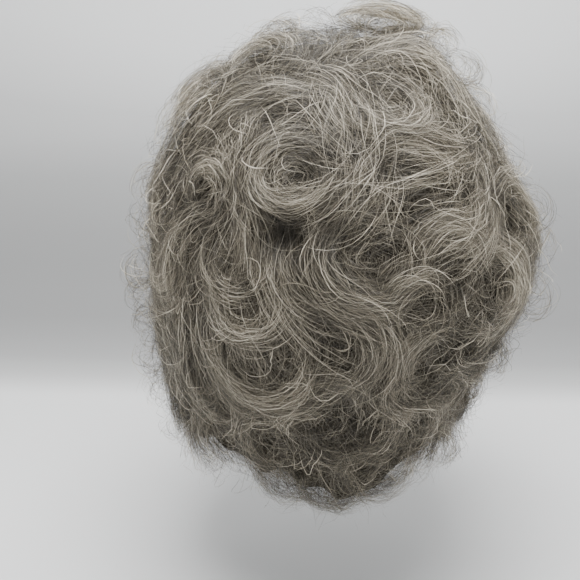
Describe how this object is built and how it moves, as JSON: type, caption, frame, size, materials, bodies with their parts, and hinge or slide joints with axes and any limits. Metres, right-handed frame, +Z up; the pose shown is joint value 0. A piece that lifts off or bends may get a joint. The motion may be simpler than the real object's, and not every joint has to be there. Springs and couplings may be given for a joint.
{
  "type": "short curly wig",
  "caption": "Short wig of loose grey curls on an open stretch cap, worn over the head, with full swirled locks round a crown whorl and a short curled nape.",
  "frame": {"origin": "the point inside the cap's crown where the top of a head meets it", "axes": "+Z up, -Y out of the face opening, +X to the wearer's left; mid-plane of the head at X = 0"},
  "size_m": [0.2431, 0.2738, 0.274],
  "materials": {
    "grey_hair": "salt-and-pepper synthetic hair, loose curls, soft sheen",
    "cap_net": "dark stretch net with sewn weft rows, matt"
  },
  "bodies": {
    "root": {"wig_cap": "cap_net", "hair_crown": "grey_hair", "hair_fringe": "grey_hair", "hair_side_left": "grey_hair", "hair_side_right": "grey_hair", "hair_back": "grey_hair", "hair_nape": "grey_hair"}
  },
  "joints": []
}
